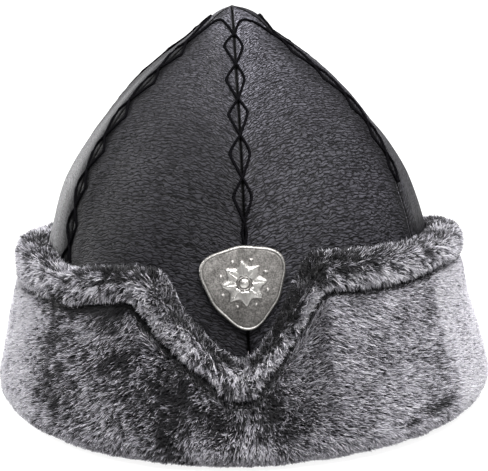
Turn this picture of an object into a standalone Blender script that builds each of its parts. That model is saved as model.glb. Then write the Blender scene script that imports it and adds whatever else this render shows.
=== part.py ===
"""Bork hat: a pointed crown of six leather gores in a turned-up fur cuff, with a badge.

Lengths are metres, +Z is up and the front of the hat faces -Y. Angles run round the
head in degrees, 0 at the front seam and positive towards +X. The origin is the centre
of the rim that the hat rests on.
"""
import math
from collections import namedtuple

import bmesh
import bpy
from mathutils import Matrix, Vector

# Driving sizes
LEATHER = 0.002
CLEARANCE = 0.0003
CROWN_HEIGHT = 0.184
CROWN_FOOT = 0.0033
MAX_RADIUS = 0.116
FLARE_HEIGHT = 0.010
REST_RADIUS = 0.106
LIP_RADIUS = 0.0935
LIP_HEIGHT = CROWN_FOOT - CLEARANCE

# Crown: the radius is measured at the seams, and flatness is 0 where the crown is
# round and 1 where its panels are flat from seam to seam.
CrownRing = namedtuple("CrownRing", "height radius flatness")
CROWN_RINGS = (
    CrownRing(0.000, 0.0965, 0.00),
    CrownRing(0.040, 0.0955, 0.00),
    CrownRing(0.062, 0.0925, 0.00),
    CrownRing(0.085, 0.0868, 0.05),
    CrownRing(0.100, 0.0830, 0.18),
    CrownRing(0.115, 0.0778, 0.48),
    CrownRing(0.130, 0.0688, 0.70),
    CrownRing(0.1425, 0.0586, 0.80),
    CrownRing(0.155, 0.0448, 0.85),
    CrownRing(0.168, 0.0278, 0.90),
    CrownRing(0.178, 0.0134, 0.90),
    CrownRing(CROWN_HEIGHT, 0.0000, 0.90),
)
Gore = namedtuple("Gore", "name start end")
GORES = (
    Gore("gore_front_right", 0, 64),
    Gore("gore_right", 64, 122),
    Gore("gore_back_right", 122, 180),
    Gore("gore_back_left", 180, 238),
    Gore("gore_left", 238, 296),
    Gore("gore_front_left", 296, 360),
)
GORE_ROWS = 14
GORE_CROWDING = 1.6
GORE_TIP_DROP = 0.0004
SEAM_ROUNDING = 0.0008
# Places across a gore, from seam to seam, where it has a column of points.
GORE_COLUMNS = (-1, -0.93, -0.68, -0.34, 0, 0.34, 0.68, 0.93, 1)

# Cuff: the edge is where the fur meets the leather, and the crease is where the rolled
# strip is sewn to the band. Both dip into the notch over the forehead. Swell is how far
# the strip's face stands proud of the cuff's even flare, or falls short of it.
CuffStation = namedtuple("CuffStation", "angle edge crease swell")
CUFF_STATIONS = (
    CuffStation(-180, 0.0800, 0.0620, 0.0000),
    CuffStation(-125, 0.0795, 0.0600, 0.0006),
    CuffStation(-95, 0.0800, 0.0590, -0.0010),
    CuffStation(-73, 0.0800, 0.0610, 0.0000),
    CuffStation(-60, 0.0765, 0.0620, -0.0014),
    CuffStation(-47, 0.0805, 0.0650, 0.0004),
    CuffStation(-31, 0.0845, 0.0710, 0.0000),
    CuffStation(-27, 0.0845, 0.0655, 0.0006),
    CuffStation(-24, 0.0830, 0.0590, 0.0006),
    CuffStation(-17, 0.0680, 0.0480, 0.0000),
    CuffStation(-9, 0.0540, 0.0380, 0.0000),
    CuffStation(-6, 0.0500, 0.0325, 0.0004),
    CuffStation(-2, 0.0465, 0.0310, 0.0004),
    CuffStation(1, 0.0485, 0.0325, 0.0004),
    CuffStation(4, 0.0540, 0.0390, 0.0000),
    CuffStation(12, 0.0755, 0.0565, -0.0010),
    CuffStation(17, 0.0875, 0.0690, 0.0000),
    CuffStation(20, 0.0900, 0.0755, 0.0010),
    CuffStation(30, 0.0890, 0.0735, 0.0006),
    CuffStation(45, 0.0860, 0.0710, -0.0006),
    CuffStation(62, 0.0825, 0.0715, 0.0004),
    CuffStation(84, 0.0805, 0.0650, 0.0012),
    CuffStation(110, 0.0800, 0.0620, 0.0000),
    CuffStation(180, 0.0800, 0.0620, 0.0000),
)
CuffRing = namedtuple("CuffRing", "height radius")
CUFF_FLARE = (
    CuffRing(FLARE_HEIGHT, MAX_RADIUS),
    CuffRing(0.030, 0.1120),
    CuffRing(0.062, 0.1052),
    CuffRing(0.080, 0.1046),
    CuffRing(0.095, 0.1040),
)
CUFF_SECTIONS = 120
CUFF_SEATING = 0.0005
CREASE_DEPTH = 0.0030
CREASE_GAP = 0.0005
BAND_TIERS = 6
# Heights of the points of the band's inner face, as shares of its height there.
BAND_SEAT_SHARES = (1.0, 0.82, 0.62)
# Locks of the fur: a tip at every few sections of a tier hangs lower than its tier, by a
# share of the drop to the next one, and the hollows between the tips lie deeper.
LOCK_SECTIONS = 4
LOCK_DEPTH = 0.0022
LOCK_HANG = 0.30

# Strip rolled over the cuff's top. Out runs from 0 at the leather to 1 at the cuff's
# outer face, and up runs from 0 at the crease to 1 at the edge. The locks of one tier lie
# half a lock along from those of the next, and lock is the share of the full lock depth.
# Tips hang by a share of the strip's height.
RollPoint = namedtuple("RollPoint", "out up tier lock")
ROLL_HANG = 0.15
ROLL_OUTLINE = (
    RollPoint(0.97, 0.14, 0, 0.5),
    RollPoint(1.00, 0.36, 0, 1.0),
    RollPoint(1.00, 0.58, 0, 0.8),
    RollPoint(0.96, 0.80, 1, 0.6),
    RollPoint(0.82, 0.96, 1, 1.0),
    RollPoint(0.55, 1.03, 2, 0.8),
    RollPoint(0.25, 1.05, 2, 0.8),
    RollPoint(0.06, 1.00, 2, 0.0),
    RollPoint(0.00, 0.90, 2, 0.0),
    RollPoint(0.00, 0.45, 2, 0.0),
)

# Badge: a rounded triangle, point down, on a pin that goes through the front seam.
BADGE_HEIGHT = 0.0785
BADGE_OFFSET = -0.0010
BADGE_TURN = 4.8
BADGE_THICKNESS = 0.0022
BADGE_FIELD_HEIGHT = 0.0017
BADGE_SIDES = 48
PIN_RADIUS = 0.0006
PIN_LENGTH = 0.0085
CLUTCH_RADIUS = 0.0055
CLUTCH_THICKNESS = 0.0025
CLUTCH_SIDES = 24
# The badge's outline: mean reach from its middle, how far its three corners stand out,
# and how much fuller the corners and the middles of the sides are than a plain wave.
BADGE_REACH = 0.0183
BADGE_CORNER_REACH = 0.0020
BADGE_FULLNESS = 0.00055
# Edge of the plate, from its field over the rim to its back: how far each ring of points
# lies in from the outline, and its height over the back.
EdgeRing = namedtuple("EdgeRing", "inset height")
BADGE_EDGE = (
    EdgeRing(0.0022, BADGE_FIELD_HEIGHT),
    EdgeRing(0.0016, BADGE_THICKNESS),
    EdgeRing(0.0004, BADGE_THICKNESS),
    EdgeRing(0.0000, 0.0015),
    EdgeRing(0.0000, 0.0004),
    EdgeRing(0.0003, 0.0000),
)
# Ornament: a boss in a ring of petals, both standing out of the field. Each ring of
# points has its own radius, and its height is base, plus petal along a petal's middle.
PETALS = 8
ReliefRing = namedtuple("ReliefRing", "radius base petal")
BADGE_RELIEF = (
    ReliefRing(0.0011, 0.0010, 0.0000),
    ReliefRing(0.0022, 0.0002, 0.0000),
    ReliefRing(0.0034, 0.0000, 0.0006),
    ReliefRing(0.0058, 0.0000, 0.0009),
    ReliefRing(0.0082, 0.0000, 0.0007),
    ReliefRing(0.0097, 0.0000, 0.0000),
)
BADGE_BOSS_TOP = 0.0013

Finish = namedtuple("Finish", "colour roughness metallic")
FINISHES = {
    "leather": Finish((0.045, 0.044, 0.048, 1), 0.45, 0.0),
    "fur": Finish((0.16, 0.16, 0.17, 1), 0.90, 0.0),
    "pewter": Finish((0.34, 0.33, 0.32, 1), 0.38, 1.0),
    "pin_steel": Finish((0.55, 0.55, 0.56, 1), 0.30, 1.0),
}


def clear_scene():
    """Remove every object that the file opened with."""
    for thing in list(bpy.data.objects):
        bpy.data.objects.remove(thing, do_unlink=True)


def sample(table, place):
    """Read a table's other columns at a place in its first column, without overshoot."""
    place = min(max(place, table[0][0]), table[-1][0])
    index = 0
    while index < len(table) - 2 and place > table[index + 1][0]:
        index += 1
    start, end = table[index], table[index + 1]
    width = end[0] - start[0]
    share = (place - start[0]) / width
    values = [place]
    for column in range(1, len(start)):
        slope_in = column_slope(table, index, column)
        slope_out = column_slope(table, index + 1, column)
        values.append(
            start[column] * (1 + 2 * share) * (1 - share) ** 2
            + end[column] * share ** 2 * (3 - 2 * share)
            + slope_in * width * share * (1 - share) ** 2
            - slope_out * width * share ** 2 * (1 - share)
        )
    return type(start)(*values)


def column_slope(table, index, column):
    """Slope of a column at one row: the harmonic mean of the slopes on both sides."""
    slopes = []
    for first in (index - 1, index):
        if 0 <= first < len(table) - 1:
            rise = table[first + 1][column] - table[first][column]
            slopes.append(rise / (table[first + 1][0] - table[first][0]))
    if len(slopes) == 1:
        return slopes[0]
    before, after = slopes
    if before * after <= 0:
        return 0.0
    return 2 * before * after / (before + after)


def polar(angle, radius, height):
    """Point at an angle in degrees from the front, a radius and a height."""
    turn = math.radians(angle)
    return Vector((radius * math.sin(turn), -radius * math.cos(turn), height))


def panel_share(angle, flatness):
    """Radius at an angle, as a share of the radius at the seams."""
    turn = angle % 360
    for gore in GORES:
        if turn <= gore.end:
            break
    half = math.radians((gore.end - gore.start) / 2)
    off_centre = math.radians(turn - (gore.start + gore.end) / 2)
    return 1 - flatness + flatness * math.cos(half) / math.cos(off_centre)


def crown_radius(angle, height):
    """Outer radius of the leather."""
    ring = sample(CROWN_RINGS, height)
    return ring.radius * panel_share(angle, ring.flatness)


def crown_slant(height):
    """Angle of the crown's surface normal above the horizontal, in radians."""
    step = 0.0005
    low = sample(CROWN_RINGS, height - step)
    high = sample(CROWN_RINGS, height + step)
    return math.atan2(low.radius - high.radius, high.height - low.height)


def cuff_radius(height):
    """Outer radius of the cuff, at the tips of its locks."""
    return sample(CUFF_FLARE, height).radius


def material(name):
    """Principled material with the finish of that name."""
    made = bpy.data.materials.get(name)
    if made:
        return made
    finish = FINISHES[name]
    made = bpy.data.materials.new(name)
    made.use_nodes = True
    made.diffuse_color = finish.colour
    shader = made.node_tree.nodes["Principled BSDF"]
    shader.inputs["Base Color"].default_value = finish.colour
    shader.inputs["Roughness"].default_value = finish.roughness
    shader.inputs["Metallic"].default_value = finish.metallic
    return made


def add_object(name, points, faces, finish, sharp_angle=40):
    """Make a smooth-shaded object from points and faces."""
    mesh = bpy.data.meshes.new(name)
    mesh.from_pydata(points, [], faces)
    mesh.materials.append(material(finish))
    mesh.shade_smooth()
    mesh.set_sharp_from_angle(angle=math.radians(sharp_angle))
    made = bpy.data.objects.new(name, mesh)
    bpy.context.scene.collection.objects.link(made)
    return made


def tube_faces(rings, count, shift=0):
    """Triangles between neighbouring rings of count points, the last ring meeting the first.

    The quads are split like a chequerboard, and a shift of 1 swaps its two diagonals.
    """
    faces = []
    for ring in range(rings):
        after = (ring + 1) % rings
        for point in range(count):
            beside = (point + 1) % count
            a, b = ring * count + point, after * count + point
            c, d = after * count + beside, ring * count + beside
            if (ring + point + shift) % 2:
                faces += [(a, b, c), (a, c, d)]
            else:
                faces += [(a, b, d), (b, c, d)]
    return faces


def gore_heights():
    """Heights of a gore's rows, crowded towards the point of the crown."""
    tip = CROWN_HEIGHT - GORE_TIP_DROP
    span = tip - CROWN_FOOT
    rows = [1 - (1 - row / GORE_ROWS) ** GORE_CROWDING for row in range(GORE_ROWS + 1)]
    return [CROWN_FOOT + span * row for row in rows]


def gore_row(gore, height, skin):
    """One row of points across a gore, on its outer skin or its inner one."""
    ring = sample(CROWN_RINGS, height)
    is_tip = ring.radius < LEATHER
    slant = crown_slant(height)
    radius = ring.radius
    place = height
    if skin == "inner":
        if is_tip:
            place -= LEATHER / math.sin(slant)
        else:
            radius -= LEATHER * math.cos(slant)
            place -= LEATHER * math.sin(slant) if height > CROWN_FOOT else 0
    centre = (gore.start + gore.end) / 2
    gap = math.degrees(math.asin(CLEARANCE / 2 / radius))
    half = (gore.end - gore.start) / 2 - gap
    points = []
    for column in GORE_COLUMNS:
        angle = centre + half * column
        reach = radius * panel_share(angle, ring.flatness)
        if skin == "outer" and abs(column) == 1 and not is_tip:
            reach -= SEAM_ROUNDING * math.cos(slant)
        points.append(polar(angle, reach, place))
    return points


def build_gore(gore):
    """Leather panel from the rim to the point of the crown, closed at its four edges."""
    heights = gore_heights()
    width = len(GORE_COLUMNS)
    points = []
    for skin in ("outer", "inner"):
        for height in heights:
            points += gore_row(gore, height, skin)
    layer = len(heights) * width
    faces = []
    for row in range(len(heights) - 1):
        for column in range(width - 1):
            a = row * width + column
            b, c, d = a + 1, a + 1 + width, a + width
            faces += [(a, b, c, d), (a + layer, d + layer, c + layer, b + layer)]
    foot = list(range(width))
    tip = [layer - width + column for column in range(width)]
    left = [row * width for row in range(len(heights))]
    right = [row * width + width - 1 for row in range(len(heights))]
    for edge, outward in ((foot, False), (tip, True), (left, True), (right, False)):
        for a, b in zip(edge, edge[1:]):
            face = (a, b, b + layer, a + layer)
            faces.append(face if outward else face[::-1])
    return add_object(gore.name, points, faces, "leather")


def lock_place(section, tier, radius, height, drop, share=1.0):
    """Move a point of the cuff's face down to a lock's tip, or in to the hollow beside it."""
    wave = 0.5 + 0.5 * math.cos(2 * math.pi * (section / LOCK_SECTIONS + tier / 2))
    return radius - LOCK_DEPTH * share * (1 - wave), height - LOCK_HANG * drop * wave


def band_section(section):
    """Section of the fur band, from its resting face out, up to the crease and back."""
    angle = section * 360 / CUFF_SECTIONS
    station = sample(CUFF_STATIONS, (angle + 180) % 360 - 180)
    turn_under = MAX_RADIUS - REST_RADIUS
    section_points = [(LIP_RADIUS, 0.0), (REST_RADIUS, 0.0)]
    for step in (30, 60):
        swing = math.radians(step)
        section_points.append((
            REST_RADIUS + turn_under * math.sin(swing),
            FLARE_HEIGHT * (1 - math.cos(swing)),
        ))
    section_points.append(lock_place(section, 0, MAX_RADIUS, FLARE_HEIGHT, 0.0))
    drop = (station.crease - FLARE_HEIGHT) / BAND_TIERS
    for tier in range(1, BAND_TIERS):
        height = FLARE_HEIGHT + drop * (tier + LOCK_HANG / 2)
        radius = cuff_radius(height) + station.swell * tier / BAND_TIERS
        section_points.append(lock_place(section, tier, radius, height, drop))
    crease_radius = cuff_radius(station.crease) + station.swell - CREASE_DEPTH
    section_points.append((crease_radius, station.crease))
    for share in BAND_SEAT_SHARES:
        height = LIP_HEIGHT + (station.crease - LIP_HEIGHT) * share
        section_points.append((crown_radius(angle, height) + CUFF_SEATING, height))
    section_points.append((crown_radius(angle, LIP_HEIGHT) + CUFF_SEATING, LIP_HEIGHT))
    section_points.append((LIP_RADIUS, LIP_HEIGHT))
    return [polar(angle, radius, height) for radius, height in section_points]


def roll_section(section):
    """Section of the rolled strip, from the crease up its face, over its top and back."""
    angle = section * 360 / CUFF_SECTIONS
    station = sample(CUFF_STATIONS, (angle + 180) % 360 - 180)
    foot = station.crease + CREASE_GAP
    tall = station.edge - foot
    seat = crown_radius(angle, foot) + CUFF_SEATING
    crease_radius = cuff_radius(station.crease) + station.swell - CREASE_DEPTH
    section_points = [(seat, foot), (crease_radius, foot)]
    for mark in ROLL_OUTLINE:
        height = foot + tall * mark.up
        inner = crown_radius(angle, min(height, station.edge)) + CUFF_SEATING
        outer = cuff_radius(height) + station.swell
        radius = inner + (outer - inner) * mark.out
        drop = tall * ROLL_HANG * mark.lock
        section_points.append(lock_place(section, mark.tier, radius, height, drop, mark.lock))
    return [polar(angle, radius, height) for radius, height in section_points]


def build_cuff_piece(name, make_section, shift):
    """Close a piece of the cuff from its sections all round the head.

    The shifts of the two pieces split the faces that meet along the same lines.
    """
    sections = [make_section(section) for section in range(CUFF_SECTIONS)]
    points = [point for section in sections for point in section]
    faces = tube_faces(len(sections), len(sections[0]), shift)
    return add_object(name, points, faces, "fur", sharp_angle=70)


def badge_outline(turn):
    """Distance from the badge's middle to its outline, which has a corner straight down."""
    swing = math.radians(turn + 90)
    return (BADGE_REACH + BADGE_CORNER_REACH * math.cos(3 * swing)
            + BADGE_FULLNESS * math.cos(6 * swing))


def badge_frame():
    """Place of the badge: X across it, Y up it and Z out of it, on the leather."""
    slant = crown_slant(BADGE_HEIGHT)
    seat = polar(0, crown_radius(0, BADGE_HEIGHT), BADGE_HEIGHT)
    outward = Vector((0, -math.cos(slant), math.sin(slant)))
    across = Vector((1, 0, 0))
    frame = Matrix((across, outward.cross(across), outward)).transposed().to_4x4()
    return Matrix.Translation(seat + outward * CLEARANCE) @ frame


def badge_rings():
    """Rings of the badge from the middle of its front, round its edge, to its pin's end."""
    turns = [side * 360 / BADGE_SIDES for side in range(BADGE_SIDES)]
    rings = []
    for ring in BADGE_RELIEF:
        base = BADGE_FIELD_HEIGHT + ring.base
        lift = [abs(math.cos(math.radians(turn) * PETALS / 2)) for turn in turns]
        rings.append([
            (turn, ring.radius, base + ring.petal * rise) for turn, rise in zip(turns, lift)
        ])
    for ring in BADGE_EDGE:
        rings.append([
            (turn, badge_outline(turn) - ring.inset, ring.height) for turn in turns
        ])
    rings = [[offset_point(*mark) for mark in ring] for ring in rings]
    for height in (0.0, -PIN_LENGTH):
        rings.append([
            Vector((PIN_RADIUS * math.cos(math.radians(turn)),
                    PIN_RADIUS * math.sin(math.radians(turn)), height))
            for turn in turns
        ])
    return rings


def offset_point(turn, reach, height):
    """Point of the badge's plate, which is turned a little and set beside the seam."""
    swing = math.radians(turn + BADGE_TURN)
    return Vector((BADGE_OFFSET + reach * math.cos(swing), reach * math.sin(swing), height))


def build_badge():
    """Cast plate with its ornament, and the pin on its back, in one solid."""
    rings = badge_rings()
    middle = offset_point(0, 0, BADGE_FIELD_HEIGHT + BADGE_BOSS_TOP)
    pin_end = Vector((0, 0, -PIN_LENGTH))
    points = [point for ring in rings for point in ring] + [middle, pin_end]
    faces = []
    for ring in range(len(rings) - 1):
        for side in range(BADGE_SIDES):
            beside = (side + 1) % BADGE_SIDES
            a, b = ring * BADGE_SIDES + side, ring * BADGE_SIDES + beside
            faces.append((a, a + BADGE_SIDES, b + BADGE_SIDES, b))
    last = (len(rings) - 1) * BADGE_SIDES
    for side in range(BADGE_SIDES):
        beside = (side + 1) % BADGE_SIDES
        faces.append((side, beside, len(points) - 2))
        faces.append((last + beside, last + side, len(points) - 1))
    badge = add_object("badge", points, faces, "pewter")
    badge.matrix_world = badge_frame()
    return badge


def build_clutch():
    """Plain clutch disc, bored for the pin, against the inside of the crown."""
    bore = PIN_RADIUS + CLEARANCE
    near = -(LEATHER + 3 * CLEARANCE)
    far = near - CLUTCH_THICKNESS
    soft = CLUTCH_THICKNESS / 5
    profile = (
        (bore, near), (bore, far), (CLUTCH_RADIUS - soft, far),
        (CLUTCH_RADIUS, far + soft), (CLUTCH_RADIUS, near - soft), (CLUTCH_RADIUS - soft, near),
    )
    points = []
    for side in range(CLUTCH_SIDES):
        swing = 2 * math.pi * side / CLUTCH_SIDES
        points += [(reach * math.cos(swing), reach * math.sin(swing), up) for reach, up in profile]
    faces = tube_faces(CLUTCH_SIDES, len(profile))
    clutch = add_object("badge_clutch", points, faces, "pin_steel")
    clutch.matrix_world = badge_frame()
    return clutch


def bore_for_pin(gores):
    """Cut the pin's hole out of the two gores that meet at the front seam."""
    cutter = add_cutter(badge_frame())
    for gore in gores:
        cut = gore.modifiers.new("pin hole", "BOOLEAN")
        cut.operation = "DIFFERENCE"
        cut.object = cutter


def add_cutter(frame):
    """Hidden cylinder along the pin."""
    mesh = bpy.data.meshes.new("pin_cutter")
    shape = bmesh.new()
    bmesh.ops.create_cone(
        shape, cap_ends=True, segments=16, radius1=PIN_RADIUS + CLEARANCE,
        radius2=PIN_RADIUS + CLEARANCE, depth=6 * LEATHER)
    shape.to_mesh(mesh)
    shape.free()
    cutter = bpy.data.objects.new("pin_cutter", mesh)
    bpy.context.scene.collection.objects.link(cutter)
    cutter.matrix_world = frame
    cutter.hide_render = True
    cutter.display_type = "WIRE"
    return cutter


def build_hat():
    """Make every piece of the hat."""
    gores = [build_gore(gore) for gore in GORES]
    build_cuff_piece("cuff_band", band_section, shift=0)
    build_cuff_piece("cuff_roll", roll_section, shift=1)
    build_badge()
    build_clutch()
    bore_for_pin([gores[0], gores[-1]])


clear_scene()
build_hat()
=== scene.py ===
"""Looks of the bork hat: leather crown with cross stitches, plush cuff and pewter badge.

Lengths are metres, +Z is up and the front of the hat faces -Y. Angles run round the
head in degrees, 0 at the front seam and positive towards +X.
"""
import math
from collections import namedtuple

import bpy
import numpy as np
from mathutils import Matrix, Vector


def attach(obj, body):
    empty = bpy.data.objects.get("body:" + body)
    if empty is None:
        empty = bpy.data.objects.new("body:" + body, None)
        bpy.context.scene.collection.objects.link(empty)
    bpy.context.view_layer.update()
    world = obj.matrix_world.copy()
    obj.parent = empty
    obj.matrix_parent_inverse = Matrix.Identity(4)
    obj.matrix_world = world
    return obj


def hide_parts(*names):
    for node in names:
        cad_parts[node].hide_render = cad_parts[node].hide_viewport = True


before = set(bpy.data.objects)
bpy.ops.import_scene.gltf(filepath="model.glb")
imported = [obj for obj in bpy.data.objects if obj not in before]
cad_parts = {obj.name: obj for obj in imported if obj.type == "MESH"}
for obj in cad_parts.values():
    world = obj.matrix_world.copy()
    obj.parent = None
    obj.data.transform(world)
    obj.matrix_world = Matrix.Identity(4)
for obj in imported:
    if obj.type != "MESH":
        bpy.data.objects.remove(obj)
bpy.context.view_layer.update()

# Crown. The gores overlap a little at the seams and end just under the point, so that no
# light shows between them.
LEATHER = 0.002
CLEARANCE = 0.0003
SEAM_OVERLAP = 0.00004
TIP_DROP = 0.00004
CROWN_HEIGHT = 0.1848
CROWN_LEAN = 0.0026
TIP_FULLNESS = 0.30
CROWN_FOOT = 0.0033
# Fuller parts of the crown: angle, height and how much fuller, and how far they spread.
CROWN_SWELLS = ((-88, 0.106, 0.0013), (86, 0.146, 0.0016))
SWELL_TURN = 25
SWELL_RISE = 0.014

# Cuff. HEM_SWELL is how much fuller it is low down on the right and HEM_FRONT in front.
MAX_RADIUS = 0.116
FLARE_HEIGHT = 0.010
REST_RADIUS = 0.106
LIP_RADIUS = 0.0935
LIP_HEIGHT = CROWN_FOOT - CLEARANCE
CREASE_DEPTH = 0.0045
CREASE_GAP = 0.0005
# Depth of the pile on the rolled strip. A hair on it or deeper pile stands at its full size.
ROLL_DEPTH = 0.0046
HEM_SWELL = 0.0044
HEM_ANGLE = 52
HEM_FRONT = 0.0018
SEATING = 0.0005

# Crown's rings: height, radius at the seams, and flatness of the panels between the seams.
CROWN_RINGS = (
    (0.000, 0.0965, 0.00), (0.040, 0.0955, 0.00), (0.062, 0.0925, 0.00),
    (0.085, 0.0868, 0.05), (0.100, 0.0830, 0.18), (0.115, 0.0778, 0.48),
    (0.130, 0.0688, 0.70), (0.1425, 0.0586, 0.80), (0.155, 0.0448, 0.85),
    (0.168, 0.0276, 0.90), (0.178, 0.0130, 0.90), (0.1827, 0.0056, 0.90),
    (CROWN_HEIGHT, 0.0000, 0.90),
)
GORES = (
    ("gore_front_right", 0, 64), ("gore_right", 64, 122), ("gore_back_right", 122, 180),
    ("gore_back_left", 180, 238), ("gore_left", 238, 296), ("gore_front_left", 296, 360),
)
# Cuff: angle, height of the edge against the leather, height of the crease, swell.
CUFF_STATIONS = (
    (-180, 0.0725, 0.0580, 0.0000), (-122, 0.0690, 0.0560, 0.0006),
    (-92, 0.0765, 0.0590, 0.0004), (-73, 0.0785, 0.0605, 0.0004),
    (-60, 0.0765, 0.0620, -0.0014), (-47, 0.0805, 0.0650, 0.0004),
    (-31, 0.0845, 0.0710, 0.0000), (-27, 0.0845, 0.0655, 0.0006),
    (-24, 0.0830, 0.0590, 0.0006), (-17, 0.0680, 0.0480, 0.0000),
    (-9, 0.0540, 0.0380, 0.0000), (-6, 0.0500, 0.0325, 0.0004),
    (-2, 0.0465, 0.0310, 0.0004), (1, 0.0485, 0.0325, 0.0004),
    (4, 0.0540, 0.0390, 0.0000), (12, 0.0755, 0.0565, -0.0010),
    (17, 0.0875, 0.0690, 0.0000), (20, 0.0900, 0.0755, 0.0010),
    (30, 0.0890, 0.0735, 0.0006), (45, 0.0860, 0.0710, -0.0006),
    (62, 0.0825, 0.0700, 0.0004), (86, 0.0785, 0.0640, 0.0012),
    (98, 0.0755, 0.0610, 0.0006), (116, 0.0672, 0.0550, 0.0000),
    (180, 0.0725, 0.0580, 0.0000),
)
# Cuff's outer radius by height.
CUFF_FLARE = (
    (FLARE_HEIGHT, MAX_RADIUS), (0.030, 0.1120), (0.062, 0.1052),
    (0.080, 0.1046), (0.095, 0.1040),
)
# Outline of the rolled strip: share of the way out, share of the way up.
ROLL_OUTLINE = (
    (0.97, 0.14), (1.00, 0.36), (1.00, 0.58), (0.96, 0.80), (0.82, 0.96),
    (0.55, 1.03), (0.25, 1.05), (0.06, 1.00), (0.00, 0.90),
)

# Badge: its place on the front seam, its outline and its pin.
BADGE_HEIGHT = 0.0785
BADGE_OFFSET = -0.0010
BADGE_TURN = 4.8
BADGE_FIELD_HEIGHT = 0.0017
BADGE_REACH = 0.0183
BADGE_CORNER_REACH = 0.0020
BADGE_FULLNESS = 0.00055
BADGE_SIDES = 160
PIN_RADIUS = 0.0006
PIN_LENGTH = 0.0085
PETALS = 8
PETAL_START = 0.0034
PETAL_END = 0.0100
ORNAMENT_REACH = 0.0118
RIM_INSET = 0.00085
RIM_WIDTH = 0.00060
RIM_RISE = 0.00062
# Leather grain: spacing of its ripples, and how far its cells wander.
RIPPLE_PITCH = 0.0017
GRAIN_WANDER = 0.0012

# Camera
CAMERA_AZIMUTH = -2.0
CAMERA_ELEVATION = 16.0
CAMERA_DISTANCE = 1.2
CAMERA_ROLL = 1.51
CAMERA_AIM = (0.0028, -0.0154)
CAMERA_TARGET = Vector((0, 0, 0.090))
CAMERA_LENS = 188

# Studio: the floor's half width and glow, the room's glow and how much stronger it is towards
# the back and the right, and the soft boxes, each with its place, the height that it faces, its
# size and its power.
FLOOR_REACH = 5.0
FLOOR_GLOW = 0.91
ROOM_GLOW = 0.62
ROOM_BACK = 0.42
ROOM_RIGHT = -0.12
SOFT_BOXES = (
    ("box_left", (-0.95, 0.70, 0.45), 0.07, 0.8, 52),
    ("box_right", (0.85, -0.20, 0.95), 0.05, 0.9, 10),
    ("box_top", (0.12, -0.50, 1.25), 0.08, 0.9, 56),
)


def hermite(table, places):
    """Read a table's other columns at many places in its first one, without overshoot."""
    table = np.array(table, float)
    marks, values = table[:, 0], table[:, 1:]
    places = np.clip(places, marks[0], marks[-1])
    width = np.diff(marks)
    rise = np.diff(values, axis=0) / width[:, None]
    before, after = rise[:-1], rise[1:]
    same = before * after > 0
    slope = np.concatenate([
        rise[:1],
        np.where(same, 2 * before * after / np.where(same, before + after, 1), 0),
        rise[-1:],
    ])
    index = np.clip(np.searchsorted(marks, places, side="right") - 1, 0, len(marks) - 2)
    span = width[index][..., None]
    share = (places - marks[index])[..., None] / span
    found = (
        values[index] * (1 + 2 * share) * (1 - share) ** 2
        + values[index + 1] * share ** 2 * (3 - 2 * share)
        + slope[index] * span * share * (1 - share) ** 2
        - slope[index + 1] * span * share ** 2 * (1 - share)
    )
    return np.moveaxis(found, -1, 0)


def smoothstep(low, high, value):
    """0 below low, 1 above high, and smooth between."""
    share = np.clip((value - low) / (high - low), 0, 1)
    return share * share * (3 - 2 * share)


def bell(offset, width, other=0.0, tall=1.0):
    """1 in the middle, falling off over a width, and with a second offset over a height."""
    return np.exp(-(offset / width) ** 2 - (other / tall) ** 2)


def signed(angle):
    """Angle from -180 to 180 degrees, 0 at the front."""
    return np.mod(angle + 180, 360) - 180


def soften(values):
    """Round the corners of rows of values, in place. The first and last row stay."""
    values[1:-1] = values[1:-1] * 0.5 + (values[:-2] + values[2:]) * 0.25


def mix(first, last, share):
    """Value at a share of the way from first to last."""
    return first * (1 - share) + last * share


def unit(vectors):
    """Vectors brought to a length of 1."""
    return vectors / np.maximum(np.linalg.norm(vectors, axis=-1), 1e-9)[..., None]


def scrambled(value):
    """Whole numbers turned into others up to 2 ** 32, seemingly at random."""
    value = value & 0xFFFFFFFF
    value = ((value ^ value >> 13) * 1274126177) & 0xFFFFFFFF
    value = ((value ^ value >> 16) * 2246822519) & 0xFFFFFFFF
    return value ^ value >> 15


def lump_noise(points, size, seed):
    """Smooth noise from -1 to 1, whose lumps are about size across."""
    places = np.asarray(points, float) / size + 57.0
    cell = np.floor(places).astype(np.int64)
    share = places - cell
    share = share * share * (3 - 2 * share)
    total = np.zeros(places.shape[:-1])
    for corner in range(8):
        step = np.array([corner & 1, corner >> 1 & 1, corner >> 2])
        weight = np.prod(np.where(step, share, 1 - share), axis=-1)
        x, y, z = np.moveaxis(cell + step, -1, 0)
        value = scrambled(x * 73856093 ^ y * 19349663 ^ z * 83492791 ^ seed * 40503)
        total += weight * (value / 2 ** 31 - 1)
    return total


def chances(first, second, seed):
    """Random numbers from 0 to 1 for whole-number places, four of each."""
    value = scrambled(first * 73856093 ^ second * 19349663 ^ seed * 83492791)
    return [np.mod(value / 2 ** 32 * factor, 1) for factor in (1, 977, 31153, 640009)]


def polar(angle, radius, height):
    """Points at angles in degrees from the front, radii and heights."""
    turn, radius, height = np.broadcast_arrays(np.radians(angle), radius, height)
    return np.stack([radius * np.sin(turn), -radius * np.cos(turn), height], axis=-1)


def panel_share(angle, flatness):
    """Radius at an angle, as a share of the radius at the seams."""
    turn = np.mod(angle, 360)
    starts = np.array([start for _, start, _ in GORES])
    ends = np.array([end for _, _, end in GORES])
    index = np.clip(np.searchsorted(ends, turn), 0, len(GORES) - 1)
    half = np.radians((ends - starts) / 2)[index]
    off_centre = np.radians(turn - ((starts + ends) / 2)[index])
    return 1 - flatness + flatness * np.cos(half) / np.cos(off_centre)


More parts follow.
